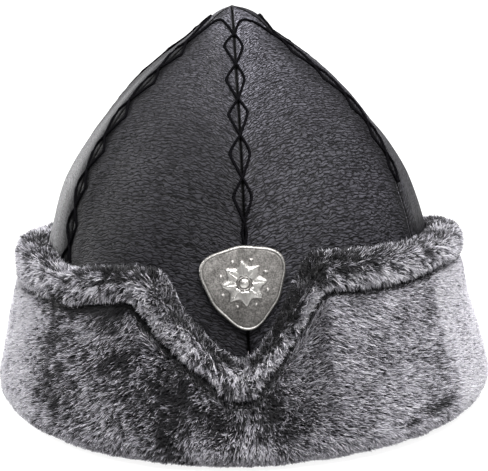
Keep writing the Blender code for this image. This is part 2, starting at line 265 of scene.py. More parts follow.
def crown_radius(angle, height):
    """Outer radius of the leather, which leans a little forward near its point."""
    height = np.asarray(height, float)
    radius, flatness = hermite(CROWN_RINGS, height)
    angle = signed(np.asarray(angle, float))
    lean = CROWN_LEAN * smoothstep(68, 118, np.abs(angle)) * smoothstep(0.110, 0.140, height)
    full = 1 + TIP_FULLNESS * np.clip(np.sin(np.radians(angle)), 0, 1) * smoothstep(
        0.172, 0.181, height)
    for middle, level, swell in CROWN_SWELLS:
        radius = radius + swell * bell(angle - middle, SWELL_TURN, height - level, SWELL_RISE)
    return radius * panel_share(angle, flatness) * full - lean * smoothstep(0.182, 0.168, height)


def crown_slant(height):
    """Angle of the crown's surface normal above the horizontal, in radians."""
    step = 0.0005
    low, high = np.asarray(height) - step, np.asarray(height) + step
    fall = hermite(CROWN_RINGS, low)[0] - hermite(CROWN_RINGS, high)[0]
    return np.arctan2(fall, 2 * step)


SLANT_HEIGHTS = np.linspace(CROWN_HEIGHT, 0, 1500)
SLANT_RADII = hermite(CROWN_RINGS, SLANT_HEIGHTS)[0]
SLANT_WAYS = np.concatenate([
    [0], np.cumsum(np.hypot(np.diff(SLANT_HEIGHTS), np.diff(SLANT_RADII)))])


def way_at(height):
    """Distance down the leather from the point of the crown to a height."""
    return np.interp(-np.asarray(height), -SLANT_HEIGHTS, SLANT_WAYS)


def height_at(way):
    """Height at a distance down the leather from the point of the crown."""
    return np.interp(way, SLANT_WAYS, SLANT_HEIGHTS)


def cuff_radius(height):
    """Outer radius of the cuff, at the tips of its pile."""
    return hermite(CUFF_FLARE, np.asarray(height, float))[0]


def make_mesh(name, points, faces, finishes, maps=None, inner=None):
    """Add a smooth-shaded piece from arrays of points and faces. inner picks a face's finish."""
    mesh = bpy.data.meshes.new(name)
    points = np.ascontiguousarray(points, np.float32)
    faces = np.asarray(faces, np.int32)
    corners = faces.shape[1]
    mesh.vertices.add(len(points))
    mesh.vertices.foreach_set("co", points.ravel())
    mesh.loops.add(faces.size)
    mesh.loops.foreach_set("vertex_index", faces.ravel())
    mesh.polygons.add(len(faces))
    mesh.polygons.foreach_set("loop_start", np.arange(0, faces.size, corners, dtype=np.int32))
    for finish in finishes:
        mesh.materials.append(finish)
    if inner is not None:
        mesh.polygons.foreach_set("material_index", np.asarray(inner, np.int32))
    for label, places in (maps or {}).items():
        layer = mesh.uv_layers.new(name=label)
        layer.data.foreach_set("uv", np.asarray(places, np.float32)[faces.ravel()].ravel())
    mesh.update(calc_edges=True)
    mesh.shade_smooth()
    made = bpy.data.objects.new(name, mesh)
    bpy.context.scene.collection.objects.link(made)
    return made


def grid_faces(rows, columns, start=0, wrap=False):
    """Quads of a grid of points, row by row. With wrap, the last column meets the first."""
    across = columns if wrap else columns - 1
    row, column = np.meshgrid(np.arange(rows - 1), np.arange(across), indexing="ij")
    beside = (column + 1) % columns
    first = start + row * columns
    quads = np.stack([
        first + column, first + beside, first + columns + beside, first + columns + column], -1)
    return quads.reshape(-1, 4)


def halves(quads):
    """Two triangles for each quad."""
    return np.concatenate([quads[:, [0, 1, 2]], quads[:, [0, 2, 3]]])


class Wire:
    """Output of a node. Arithmetic on it adds Math nodes to its tree."""

    def __init__(self, socket):
        self.socket = socket

    def maths(self, operation, other=0.0):
        """Add a Math node on this value and another."""
        made = self.socket.id_data.nodes.new("ShaderNodeMath")
        made.operation = operation
        plug(made.inputs[0], self)
        plug(made.inputs[1], other)
        return Wire(made.outputs[0])

    def __add__(self, other):
        return self.maths("ADD", other)

    def __sub__(self, other):
        return self.maths("SUBTRACT", other)

    def __mul__(self, other):
        return self.maths("MULTIPLY", other)

    def __abs__(self):
        return self.maths("ABSOLUTE")


def plug(socket, value):
    """Link a socket to a wire, or set its value."""
    if isinstance(value, Wire):
        socket.id_data.links.new(value.socket, socket)
    else:
        socket.default_value = value


class Finish:
    """Material or world in the making, with short ways to add nodes to its tree."""

    def __init__(self, owner):
        owner.use_nodes = True
        self.owner = owner
        self.nodes = owner.node_tree.nodes

    def node(self, kind, settings=None, **inputs):
        """Add a node. Inputs go by name, with spaces as underscores, or by number."""
        made = self.nodes.new("ShaderNode" + kind)
        for label, value in (settings or {}).items():
            setattr(made, label, value)
        for label, value in inputs.items():
            key = int(label[1:]) if label[1:].isdigit() else label.replace("_", " ")
            plug(made.inputs[key], value)
        return made

    def out(self, kind, output=0, settings=None, **inputs):
        """Add a node and give one of its outputs."""
        return Wire(self.node(kind, settings, **inputs).outputs[output])

    def uv(self, name):
        """A mesh's map."""
        return self.out("UVMap", 0, {"uv_map": name})

    def parts(self, vector):
        """X and Y of a vector."""
        split = self.node("SeparateXYZ", Vector=vector)
        return Wire(split.outputs[0]), Wire(split.outputs[1])

    def vector(self, operation, first, second):
        """Vector arithmetic."""
        return self.out("VectorMath", 0, {"operation": operation}, _0=first, _1=second)

    def scaled(self, vector, factor):
        """Vector or colour times a number."""
        return self.out("VectorMath", 0, {"operation": "SCALE"}, _0=vector, Scale=factor)

    def noise(self, place, scale, detail, roughness=0.5, output="Fac"):
        """Cloudy noise over a place, from 0 to 1."""
        return self.out("TexNoise", output, Vector=place, Scale=scale, Detail=detail,
                        Roughness=roughness)

    def remap(self, value, low, high, first, last):
        """Turn low to high of a value into first to last, held past both."""
        return self.out("MapRange", Value=value, _1=low, _2=high, _3=first, _4=last)

    def rise(self, value, low, high):
        """0 at low and under it, 1 at high and over it, and smooth between."""
        return self.out("MapRange", 0, {"interpolation_type": "SMOOTHSTEP"}, Value=value,
                        _1=low, _2=high, _3=0.0, _4=1.0)

    def ramp(self, value, *stops):
        """Colour ramp over (place, brightness or colour) stops."""
        made = self.node("ValToRGB", _0=value)
        points = made.color_ramp.elements
        while len(points) < len(stops):
            points.new(0.5)
        for point, (place, colour) in zip(points, stops):
            point.position = place
            colour = colour if hasattr(colour, "__len__") else (colour,) * 3
            point.color = (*colour, 1)
        return Wire(made.outputs[0])

    def blend(self, share, first, second, how="MIX"):
        """Mix of two colours."""
        return self.out("Mix", 2, {"data_type": "RGBA", "blend_type": how},
                        _0=share, _6=first, _7=second)

    def multiply(self, first, second):
        """One colour times another."""
        return self.blend(1.0, first, second, "MULTIPLY")

    def bump(self, height, strength, distance):
        """Normal of a surface with fine relief."""
        return self.out("Bump", Strength=strength, Distance=distance, Height=height)

    def done(self, **values):
        """Set the shader's sockets and give the material."""
        for label, value in values.items():
            plug(self.nodes["Principled BSDF"].inputs[label.replace("_", " ")], value)
        return self.owner


def new_finish(name):
    """Material in the making, by name."""
    return Finish(bpy.data.materials.new(name))


def grain_height(paint, place):
    """Height of pebbled leather grain, from 0 to about 1, over a map in metres."""
    wander = paint.noise(place, 260.0, 2.0, output="Color")
    shift = paint.scaled(paint.vector("SUBTRACT", wander, (0.5, 0.5, 0.5)), GRAIN_WANDER)
    moved = paint.vector("ADD", place, shift)
    cells = paint.out("TexVoronoi", 0, {"feature": "DISTANCE_TO_EDGE"}, Scale=350.0,
                      Vector=paint.vector("MULTIPLY", moved, (0.72, 2.0, 1.0)), Randomness=0.85)
    pebble = paint.rise(cells, 0.0, 0.17)
    creases = paint.noise(paint.vector("MULTIPLY", moved, (0.34, 1.0, 1.0)), 560.0, 2.0)
    ridge = paint.rise(abs(creases - 0.5), 0.0, 0.10)
    sway = paint.noise(paint.vector("MULTIPLY", place, (0.75, 1.0, 1.0)), 330.0, 1.5)
    phase = paint.parts(moved)[1] * (math.pi / RIPPLE_PITCH) + sway * 9.0
    ripple = paint.rise(abs(phase.maths("SINE")), 0.0, 0.80)
    return ripple * 0.52 + (pebble * 0.36 + ridge * 0.12)


def leather_material():
    """Black pebbled leather with fine creases across it and a satin polish."""
    paint = new_finish("leather_grain")
    place = paint.uv("Grain")
    height = grain_height(paint, place)
    patches = paint.noise(place, 34.0, 3.0, 0.55)
    near_top = paint.remap(paint.parts(place)[1], 0.045, 0.125, 1.0, 0.0)
    # Painted shade: the colour darkens into the grain's creases and pits. Near the point it is
    # lighter, as painted light from above, and has more contrast.
    pits = (0.15, (0.0005, 0.0005, 0.0006))
    low = paint.ramp(height, pits, (0.58, (0.0052, 0.0050, 0.0061)),
                     (1.0, (0.0255, 0.0248, 0.0292)))
    high = paint.ramp(height, pits, (0.58, (0.0090, 0.0087, 0.0105)),
                      (1.0, (0.060, 0.0585, 0.068)))
    body = paint.multiply(paint.blend(near_top, low, high), paint.ramp(
        patches, (0.25, 0.80), (0.75, 1.17)))
    # The Edge map holds the distance from the seam and the painted light and shade.
    from_seam, painted_light = paint.parts(paint.uv("Edge"))
    # Painted shade: a dark line along each seam, where the two edges meet.
    body = paint.multiply(body, paint.ramp(from_seam, (0.050, 0.04), (0.100, 1.0)))
    # Painted glints: where painted light is strong, the grain's crests get lighter and pits
    # darker.
    painted_glints = (height - 0.60) * ((painted_light - 0.90).maths("MAXIMUM") * 1.8)
    rough = paint.remap(patches, 0.3, 0.7, 0.50, 0.60) - height * 0.08
    rough = rough + paint.remap(painted_light, 0.38, 1.0, 0.40, 0.0)
    pores = paint.noise(place, 2600.0, 2.0) * 0.10
    return paint.done(
        Base_Color=paint.scaled(body, painted_light + painted_glints), Roughness=rough, Specular_IOR_Level=0.10,
        Normal=paint.bump((height + pores) * (near_top * 0.40 + 0.34), 1.0, 0.0008))


def suede_material():
    """Raw flesh side of the leather, with a short nap."""
    paint = new_finish("leather_flesh_side")
    place = paint.uv("Grain")
    nap = paint.noise(place, 1500.0, 5.0, 0.7)
    cloud = paint.noise(place, 60.0, 4.0, 0.6)
    tone = paint.ramp(cloud, (0.3, (0.050, 0.047, 0.046)), (0.7, (0.082, 0.078, 0.076)))
    return paint.done(
        Base_Color=paint.multiply(tone, paint.ramp(nap, (0.3, 0.6), (0.7, 1.35))),
        Roughness=0.95, Sheen_Weight=0.25, Normal=paint.bump(nap, 0.8, 0.0003))


def thread_material():
    """Black waxed thread of two twisted plies."""
    paint = new_finish("waxed_thread")
    place = paint.uv("Twist")
    along, around = paint.parts(place)
    twist = ((along * 720.0 + around * 2.0) * math.pi).maths("SINE")
    fuzz = paint.noise(place, 900.0, 3.0)
    return paint.done(
        Base_Color=paint.ramp(fuzz, (0.3, (0.0015, 0.0015, 0.0018)),
                              (0.75, (0.0050, 0.0048, 0.0056))),
        Roughness=0.7, Specular_IOR_Level=0.0,
        Normal=paint.bump(abs(twist) + fuzz * 0.3, 0.9, 0.00022))


def fur_material():
    """Plush pile: dark at the root and pale at the tip, each tuft with its own tone.

    The map gives a hair's tone across and its place from root to tip upwards.
    """
    paint = new_finish("plush_pile")
    tone, along = paint.parts(paint.uv("OFBake"))
    body = paint.ramp(along, (0.0, (0.003, 0.003, 0.004)), (0.45, (0.018, 0.0172, 0.0215)),
                      (0.76, (0.190, 0.184, 0.208)), (1.0, (0.66, 0.645, 0.705)))
    body = paint.multiply(body, paint.ramp(
        tone, (0.0, 0.04), (0.3, 0.18), (0.6, 0.95), (0.9, 1.30)))
    # Painted rim light: hairs of the highest tones, most of them at the cuff's edges, blend into
    # an even pale colour from root to tip.
    pale = paint.ramp(along, (0.0, (0.30, 0.296, 0.311)), (0.5, (0.40, 0.395, 0.416)),
                      (1.0, (0.45, 0.444, 0.468)))
    rim_light_share = paint.ramp(tone, (0.80, 0.0), (0.96, 1.0))
    return paint.done(
        Base_Color=paint.blend(rim_light_share, body, pale), Roughness=0.55, Specular_IOR_Level=0.15,
        Sheen_Weight=0.12, Sheen_Roughness=0.45)


def backing_material():
    """Dark knitted backing that the pile grows from."""
    paint = new_finish("plush_backing")
    knit = paint.out("TexVoronoi", "Distance", Vector=paint.out("TexCoord", "Object"), Scale=900.0)
    return paint.done(
        Base_Color=paint.ramp(knit, (0.0, (0.030, 0.030, 0.033)), (0.8, (0.008, 0.008, 0.009))),
        Roughness=0.95, Normal=paint.bump(knit, 0.7, 0.0004))


def pewter_material():
    """Antique pewter: sandy dark field, rubbed bright on what stands proud.

    The map gives the height over the back of the plate upwards, 1 for the highest.
    """
    paint = new_finish("antique_pewter")
    place = paint.out("TexCoord", "Object")
    sand = paint.noise(place, 1500.0, 3.0, 0.65)
    blotch = paint.noise(place, 190.0, 4.0, 0.6)
    scuffs = paint.noise(paint.vector("MULTIPLY", place, (1.0, 0.15, 1.0)), 2200.0, 2.0)
    rub = paint.rise(paint.parts(paint.uv("Height"))[1] + (sand - 0.5) * 0.35, 0.36, 0.86)
    field = paint.ramp(blotch, (0.3, (0.100, 0.095, 0.090)), (0.7, (0.195, 0.187, 0.179)))
    field = paint.multiply(field, paint.ramp(sand, (0.35, 0.55), (0.65, 1.40)))
    # Painted light and shade: the field darker low on the badge, lighter towards its top.
    field = paint.scaled(field, paint.remap(paint.parts(place)[1], -0.015, 0.004, 0.66, 1.32))
    bright = paint.ramp(blotch, (0.3, (0.50, 0.485, 0.465)), (0.7, (0.66, 0.645, 0.62)))
    return paint.done(
        Base_Color=paint.blend(rub, field, bright), Metallic=1.0,
        Roughness=paint.remap(rub, 0.0, 1.0, 0.52, 0.30) + (scuffs - 0.5) * 0.22,
        Normal=paint.bump(sand + scuffs * 0.25, 0.7, 0.00022))


def steel_material():
    """Nickel-plated steel with fine turned lines."""
    paint = new_finish("turned_steel")
    lines = paint.noise(paint.vector(
        "MULTIPLY", paint.out("TexCoord", "Object"), (0.2, 1.0, 3.0)), 1600.0, 3.0)
    return paint.done(
        Base_Color=paint.ramp(lines, (0.3, (0.46, 0.46, 0.47)), (0.7, (0.62, 0.62, 0.63))),
        Metallic=1.0, Roughness=paint.remap(lines, 0.3, 0.7, 0.22, 0.38),
        Normal=paint.bump(lines, 0.3, 0.0001))


# Stitches: distances down the leather at which the two threads of a seam cross, and the
# height at which they end. For the seams that show, the heights of the crossings are given.
Seam = namedtuple("Seam", "angle crossings end")
SEEN_CROSSINGS = {
    0: (0.1750, 0.1645, 0.1521, 0.1389, 0.1227, 0.1050, 0.0940, 0.0840),
    296: (0.1705, 0.1600, 0.1470, 0.1325, 0.1180, 0.1010, 0.0840, 0.0680),
    64: (0.1700, 0.1588, 0.1470, 0.1345, 0.1205, 0.1065),
}
SEEN_ENDS = {0: 0.090, 64: 0.1066}
# Seams out of sight: where they end, the distance down to the first crossing, how much later
# each seam starts than the one before, the pitch of the crossings and their number.
HIDDEN_END = 0.070
STITCH_START = 0.0200
STITCH_STAGGER = 0.0011
STITCH_PITCH = 0.0190
STITCH_COUNT = 9
# Stitches: how far the threads swing to either side, and the share of the way at which they
# turn back. Threads: their size, sides and points, and how deep they may sink.
LEFT_REACH = 0.0049
RIGHT_REACH = 0.0040
STITCH_TURN = 0.46
THREAD_RADIUS = 0.00062
THREAD_SIDES = 7
STITCH_POINTS = 20
THREAD_SINK = 0.0004
# Arch over the top of a gore: its distance from the point, its lift and its points, and its
# shape as shares of the way across and of the way back down.
ARCH_WAY = 0.0122
ARCH_LIFT = 0.0004
ARCH_POINTS = 60
ARCH_SHAPE = ((0, 1), (0.12, 0.40), (0.25, 0.09), (0.42, 0), (0.62, 0.09), (0.84, 0.42), (1, 1))


def seam_list():
    """Seams of the crown with the places of their stitches."""
    seams = []
    for number, (_, angle, _) in enumerate(GORES):
        if angle in SEEN_CROSSINGS:
            crossings = [float(way_at(height)) for height in SEEN_CROSSINGS[angle]]
        else:
            first = STITCH_START + STITCH_STAGGER * number
            crossings = [first + STITCH_PITCH * step for step in range(STITCH_COUNT)]
        seams.append(Seam(angle, crossings, SEEN_ENDS.get(angle, HIDDEN_END)))
    return seams


SEAMS = seam_list()
# Relief beside a seam: its groove, the holes of its stitches, and the leather drawn up to
# either side of it and pulled down along it.
GROOVE_DEPTH = 0.0012
GROOVE_WIDTH = 0.0012
HOLE_DEPTH = 0.00055
HOLE_WIDTH = 0.0013
WELT_HEIGHT = 0.00060
WELT_PLACE = 0.0070
WELT_WIDTH = 0.0042
TROUGH_DEPTH = 0.00030
TROUGH_WIDTH = 0.0030
# Uneven leather: how far its lumps stand, their size, and their seed.
LEATHER_LUMPS = ((0.00045, 0.034, 11), (0.00022, 0.013, 12), (0.00007, 0.0045, 13))


def crown_point(angle, height, lift=0.0):
    """Point on the leather's outer face, lifted off it."""
    slant = crown_slant(height)
    radius = crown_radius(angle, height) + lift * np.cos(slant)
    return polar(angle, radius, height + lift * np.sin(slant))


# Grain: how much finer it is near the point, and how it droops towards the seams. Painted light
# and shade: how dark the leather is painted by the side seams, and how bright the painted
# highlight is along the fold over the right one.
GRAIN_WAYS = np.linspace(0, 0.200, 400)
GRAIN_LEADS = np.cumsum(smoothstep(0.115, 0.030, GRAIN_WAYS)) * (GRAIN_WAYS[1] - GRAIN_WAYS[0])
GRAIN_FINER = 0.50
GRAIN_DROOP = 0.60
GRAIN_REACH = 0.018
SIDE_PAINTED_SHADE = 0.62
FOLD_PAINTED_HIGHLIGHT = 6.0


def cusp_marks():
    """Places where the threads turn, as (seam angle, side, distance down the leather)."""
    marks = []
    for seam in SEAMS:
        for start, stop in zip(seam.crossings, seam.crossings[1:]):
            middle = start + (stop - start) * STITCH_TURN
            if height_at(middle) > seam.end:
                marks.append((seam.angle, -LEFT_REACH, middle))
                marks.append((seam.angle, RIGHT_REACH, middle))
    return marks


def seam_distances(angle, radius):
    """Distance round the crown to each seam."""
    return [np.radians(np.abs(signed(angle - seam.angle))) * radius for seam in SEAMS]


def leather_relief(angle, height):
    """How far the sewn leather stands off its even face, by place."""
    radius = crown_radius(angle, height)
    points = polar(angle, radius, height)
    way = way_at(height)
    shown = smoothstep(0.0, 0.03, way)
    relief = shown * sum(depth * lump_noise(points, size, seed)
                         for depth, size, seed in LEATHER_LUMPS)
    off = np.minimum.reduce(seam_distances(angle, radius))
    relief -= GROOVE_DEPTH * np.clip(1 - off / GROOVE_WIDTH, 0, 1) ** 2
    relief += shown * (WELT_HEIGHT * bell(off - WELT_PLACE, WELT_WIDTH)
                       - TROUGH_DEPTH * bell(off, TROUGH_WIDTH))
    for seam, side, mark in cusp_marks():
        offset = np.radians(signed(angle - seam)) * radius
        relief -= HOLE_DEPTH * bell(offset - side, HOLE_WIDTH, way - mark, HOLE_WIDTH)
    return relief


def painted_leather_light(name, angle, radius, height, way):
    """Leather's painted light and shade by place: dark by the side seams, paler by the front one.
    """
    offs = seam_distances(angle, radius)
    beside = np.minimum.reduce(offs[1:])
    if name == "gore_right":
        # Painted shade by its seams high up, and a painted reflection that grows lighter upwards.
        sewn = smoothstep(0.105, 0.120, height)
        lighter = (0.75 + 0.50 * smoothstep(0.080, 0.094, height)
                   + 0.45 * smoothstep(0.100, 0.122, height))
        return (1 - SIDE_PAINTED_SHADE * sewn * bell(beside, 0.0080)) * lighter
    # Painted shade beside the side seams, and painted light beside the front seam high up.
    painted_light = 1 - SIDE_PAINTED_SHADE * bell(beside, 0.020 if name == "gore_left" else 0.0080)
    paler = 0.50 if name == "gore_front_right" else 0.40
    painted_light += paler * bell(offs[0], 0.020) * smoothstep(0.105, 0.045, way)
    if name == "gore_front_left":
        # Painted shade: darker, most of all low down on the left.
        low_left = smoothstep(-30, -52, signed(angle)) * smoothstep(0.130, 0.100, height)
        painted_light *= 0.87 - 0.22 * low_left
    if name == "gore_left":
        # Painted sheen: the whole gore is lighter.
        painted_light *= 1.25
    if name in ("gore_left", "gore_front_left"):
        # Painted shade: a dark strip along the seam between the two.
        painted_light *= 1 - 0.55 * np.exp(-(offs[5] / 0.0042) ** 4)
    if name == "gore_front_right":
        # Painted light: lighter all over, a painted highlight along the fold by its right seam,
        # and a pale patch of painted light low beside the badge.
        painted_light *= 1.26
        fold = bell(offs[1] - 0.0007, 0.0004) * smoothstep(0.1085, 0.1035, height)
        painted_light += FOLD_PAINTED_HIGHLIGHT * fold + 0.40 * bell(angle - 8, 5, height - 0.062, 0.012)
    # Painted light: pale at the point of the crown.
    return painted_light + 0.75 * smoothstep(0.170, 0.179, height)


# Rows of points up a gore, behind the cuff and over it, and columns to either side of its
# middle, which lie closer together towards the seams.
GORE_COVER = 0.044
GORE_HIDDEN_ROWS = 9
GORE_SHOWN_ROWS = 118
GORE_HALF_COLUMNS = 18
GORE_CROWDING = 1.8


def gore_heights():
    """Heights of a gore's rows of points."""
    tip = CROWN_HEIGHT - TIP_DROP
    hidden = np.linspace(CROWN_FOOT, GORE_COVER, GORE_HIDDEN_ROWS + 1)[:-1]
    shown_ways = np.linspace(way_at(GORE_COVER), way_at(tip), GORE_SHOWN_ROWS)
    height = np.concatenate([hidden, height_at(shown_ways)])
    height[-1] = tip
    return height


def gore_columns():
    """Places of a gore's columns, from -1 at one seam to 1 at the other."""
    share = 1 - (np.arange(GORE_HALF_COLUMNS + 1) / GORE_HALF_COLUMNS) ** GORE_CROWDING
    return np.concatenate([-share, share[:-1][::-1]])


def leather_sheets(angle, height, radius, ring_radius):
    """Points of the leather's outer and inner face. Its relief fades out at the very point."""
    slant = crown_slant(height)
    relief = leather_relief(angle, height)
    relief *= smoothstep(0.0006, 0.004, ring_radius)[:, None]
    outer = polar(angle, radius + relief * np.cos(slant), height + relief * np.sin(slant))
    depth = LEATHER - relief * 0.5
    lower = depth * np.sin(slant) * (height > CROWN_FOOT + 1e-6)
    inner = polar(angle, radius - depth * np.cos(slant), height - lower)
    small = ring_radius < LEATHER
    inner[small] = polar(angle, radius, height - LEATHER / np.sin(slant))[small]
    return np.concatenate([outer.reshape(-1, 3), inner.reshape(-1, 3)])


def sheet_faces(rows, columns):
    """Quads of an outer sheet, an inner one and the border round them, and which are inner."""
    layer = rows * columns
    front = grid_faces(rows, columns)
    back = grid_faces(rows, columns, layer)[:, ::-1]
    foot = np.arange(columns)
    left = np.arange(rows) * columns
    top, right = foot + layer - columns, left + columns - 1
    border = []
    for edge, outward in ((foot, False), (top, True), (left, True), (right, False)):
        a, b = edge[:-1], edge[1:]
        quad = np.stack([a, b, b + layer, a + layer], -1)
        border.append(quad if outward else quad[:, ::-1])
    faces = np.concatenate([front, back] + border)
    is_inner = np.zeros(len(faces))
    is_inner[len(front):len(front) + len(back)] = 1
    return faces, is_inner


def grain_map(start, across, from_seam, way):
    """Map of the grain in metres: stretched across near the point, drooping to the seams."""
    near_top = smoothstep(0.115, 0.030, way)
    down = way + GRAIN_FINER * np.interp(way, GRAIN_WAYS, GRAIN_LEADS)
    down = down + (1 + near_top) * GRAIN_DROOP * GRAIN_REACH * (
        1 - np.exp(-from_seam / GRAIN_REACH))
    return np.stack([across * (1 + 0.45 * near_top) + start * 0.01, down], -1).reshape(-1, 2)


def build_gore(gore, outside, inside):
    """Leather panel from the rim to the point of the crown."""
    name, start, end = gore
    height, column = gore_heights(), gore_columns()
    centre, half = (start + end) / 2, (end - start) / 2
    ring_radius = hermite(CROWN_RINGS, height)[0]
    overlap = np.degrees(np.arcsin(SEAM_OVERLAP / 2 / ring_radius))
    angle = centre + (half + overlap)[:, None] * column
    height = np.repeat(height[:, None], len(column), 1)
    radius = crown_radius(angle, height)
    points = leather_sheets(angle, height, radius, ring_radius)
    faces, is_inner = sheet_faces(*height.shape)
    across = np.radians(angle - centre) * radius
    from_seam = np.radians(half - np.abs(angle - centre)) * radius
    way = way_at(height)
    grain = grain_map(start, across, from_seam, way)
    # The Edge map carries the distance to the seam and the leather's painted light and shade.
    painted_light = painted_leather_light(name, angle, radius, height, way)
    edge = np.stack([from_seam * 100, painted_light], -1).reshape(-1, 2)
    made = make_mesh(name + "_leather", points, faces, (outside, inside), maps={
        "Grain": np.concatenate([grain, grain]), "Edge": np.concatenate([edge, edge])},
        inner=is_inner)
    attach(made, "root")
    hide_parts(name)


def stitch_shape(share, roundness, turn):
    """Swing of a thread between two crossings, 0 at both and 1 at its turn."""
    even = np.where(share < turn, share / turn / 2, 0.5 + (share - turn) / (1 - turn) / 2)
    return 1 - np.abs(2 * even - 1) ** roundness


# Stitches pulled in tight: seam, side, height over which they are, and how far they reach.
TIGHT_STITCHES = ((64, -1, 0.0, 0.48), (122, -1, 0.132, 0.20), (238, 1, 0.132, 0.20))


def seam_thread(seam, side):
    """One thread down a seam: ways down the leather, swings across it, lifts and thicknesses."""
    ways, swings, lifts, knots = [], [], [], []
    share = np.linspace(0, 1, STITCH_POINTS, endpoint=False)
    for number, (start, stop) in enumerate(zip(seam.crossings, seam.crossings[1:])):
        chance = [value.item() for value in chances(
            np.array([seam.angle]), np.array([2 * number + (side > 0)]), 77)]
        reach = (LEFT_REACH if side < 0 else RIGHT_REACH) * (0.90 + 0.20 * chance[0])
        if seam.angle == 0 and number > 4:
            reach *= 0.22
        for angle, tight_side, over, tight in TIGHT_STITCHES:
            if (seam.angle, side) == (angle, tight_side) and height_at(start) > over:
                reach *= tight
        turn = STITCH_TURN + 0.08 * (chance[1] - 0.5)
        roundness = (1.0 if side < 0 else 1.18) + 0.10 * chance[2]
        lift = 0.00042 + bell(np.minimum(share, 1 - share), 0.10) * (
            0.00048 if side > 0 else 0.0001)
        ways.append(start + (stop - start) * share)
        swings.append(stitch_shape(share, roundness, turn) * side * reach)
        lifts.append(lift - bell(share - turn, 0.055) * (0.00085 if side < 0 else 0.00035))
        knots.append(1 + (0.45 if side < 0 else 0.1) * bell(share - turn, 0.07))
        side = -side
    thread = np.array([np.concatenate(part) for part in (ways, swings, lifts, knots)])
    return thread[:, thread[0] < way_at(seam.end)]


def swung_angle(seam_angle, way, swing):
    """Angle of a place beside a seam."""
    radius = crown_radius(seam_angle, height_at(way))
    return seam_angle + np.degrees(swing / np.maximum(radius, 1e-4))


def thread_path(number):
    """Thread up one seam, over the top of the gore beside it and down the next seam."""
    first, second = SEAMS[number], SEAMS[(number + 1) % len(SEAMS)]
    span = (second.angle - first.angle) % 360
    up, down = seam_thread(first, -1)[:, ::-1], seam_thread(second, 1)
    share = np.linspace(0, 1, ARCH_POINTS)[1:-1]
    reach = hermite(ARCH_SHAPE, share)[0]
    ends = mix(first.crossings[0], second.crossings[0], share)
    angle = np.concatenate([
        swung_angle(first.angle, up[0], up[1]), first.angle + span * share,
        swung_angle(first.angle + span, down[0], down[1])])
    way = np.concatenate([up[0], mix(ARCH_WAY, ends, reach), down[0]])
    lift = np.concatenate([up[2], np.full(len(share), ARCH_LIFT), down[2]])
    thickness = np.concatenate([up[3], np.ones(len(share)), down[3]])
    return angle, way, lift, thickness


def tube(path, normals, radius, sides):
    """Points, faces and map of a closed tube along a path."""
    along = unit(np.gradient(path, axis=0))
    across = unit(np.cross(along, normals))
    up = np.cross(across, along)
    turn = np.arange(sides) * 2 * np.pi / sides
    ring = (np.cos(turn)[None, :, None] * across[:, None]
            + np.sin(turn)[None, :, None] * up[:, None])
    points = (path[:, None] + ring * np.reshape(radius, (-1, 1, 1))).reshape(-1, 3)
    faces = halves(grid_faces(len(path), sides, wrap=True))
    last = (len(path) - 1) * sides
    length = np.concatenate([[0], np.cumsum(np.linalg.norm(np.diff(path, axis=0), axis=1))])
    place = np.stack(np.broadcast_arrays(
        length[:, None], (np.arange(sides) / sides)[None, :]), -1).reshape(-1, 2)
    start_cap = np.array([(0, side + 1, side) for side in range(1, sides - 1)])
    end_cap = np.array([(last, last + side, last + side + 1) for side in range(1, sides - 1)])
    return points, np.concatenate([faces, start_cap, end_cap])[:, ::-1], place


def build_threads(finish):
    """The six waxed threads, each with its stitches along two seams."""
    for number in range(len(SEAMS)):
        angle, way, lift, thickness = thread_path(number)
        height = height_at(way)
        relief = np.maximum(leather_relief(angle, height), -THREAD_SINK)
        path = crown_point(angle, height, lift + relief)
        slant = crown_slant(height)
        normals = polar(angle, np.cos(slant), np.sin(slant))
        for _ in range(2):
            soften(path)
        points, faces, place = tube(path, normals, THREAD_RADIUS * thickness, THREAD_SIDES)
        made = make_mesh(f"stitching_{number + 1}", points, faces, (finish,),
                         maps={"Twist": place})
        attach(made, "root")


# Faces of the fur, as grids of points round the head and along the pile's surface.
FurFace = namedtuple("FurFace", "points normals lengths pile")
FACE_TURNS = 720
FACE_STEPS = 96
FACE_ANGLES = np.arange(FACE_TURNS) * 360 / FACE_TURNS


def dense_outline(radius, height, widths):
    """Resample each section evenly along its length and round its corners."""
    turns = len(radius)
    way = np.concatenate([
        np.zeros((turns, 1)),
        np.cumsum(np.hypot(np.diff(radius, axis=1), np.diff(height, axis=1)), axis=1)], axis=1)
    length = way[:, -1]
    share = np.linspace(0, 1, FACE_STEPS)
    grids = np.empty((3, turns, FACE_STEPS))
    for turn in range(turns):
        for grid, values in zip(grids, (radius[turn], height[turn], widths)):
            grid[turn] = np.interp(share * length[turn], way[turn], values)
    for _ in range(3):
        soften(np.moveaxis(grids, -1, 0))
    return *grids, length


def fur_face(marks):
    """Grid of the pile's even surface with its outward normals, from its sections' marks."""
    radius, height = (np.stack([mark[part] for mark in marks], 1) for part in (0, 1))
    radius, height, pile, length = dense_outline(radius, height, [mark[2] for mark in marks])
    points = polar(FACE_ANGLES[:, None], radius, height)
    across = np.roll(points, -1, axis=0) - np.roll(points, 1, axis=0)
    along = np.gradient(points, axis=1)
    return FurFace(points, unit(np.cross(across, along)), length, pile)


def stations(angle):
    """Edge, crease and swell of the cuff at angles."""
    return hermite(CUFF_STATIONS, signed(angle))


def right_side(angle):
    """1 over the right side of the cuff, where the pile is calmer, and 0 over the left."""
    return smoothstep(-4, 14, angle)


def left_arm(angle):
    """1 past the notch over the cuff's left arm, and 0 to its right."""
    return smoothstep(-18, -30, angle)


def left_cheek(angle):
    """1 over the full part of the left arm and beyond, and 0 to its right."""
    return smoothstep(-26, -34, angle)


def crease_depth(angle):
    """How far the crease runs in from the pile's tips; it is shallow on the left."""
    turn = signed(angle)
    return CREASE_DEPTH * (1 - 0.5 * left_cheek(turn) * smoothstep(-75, -62, turn))


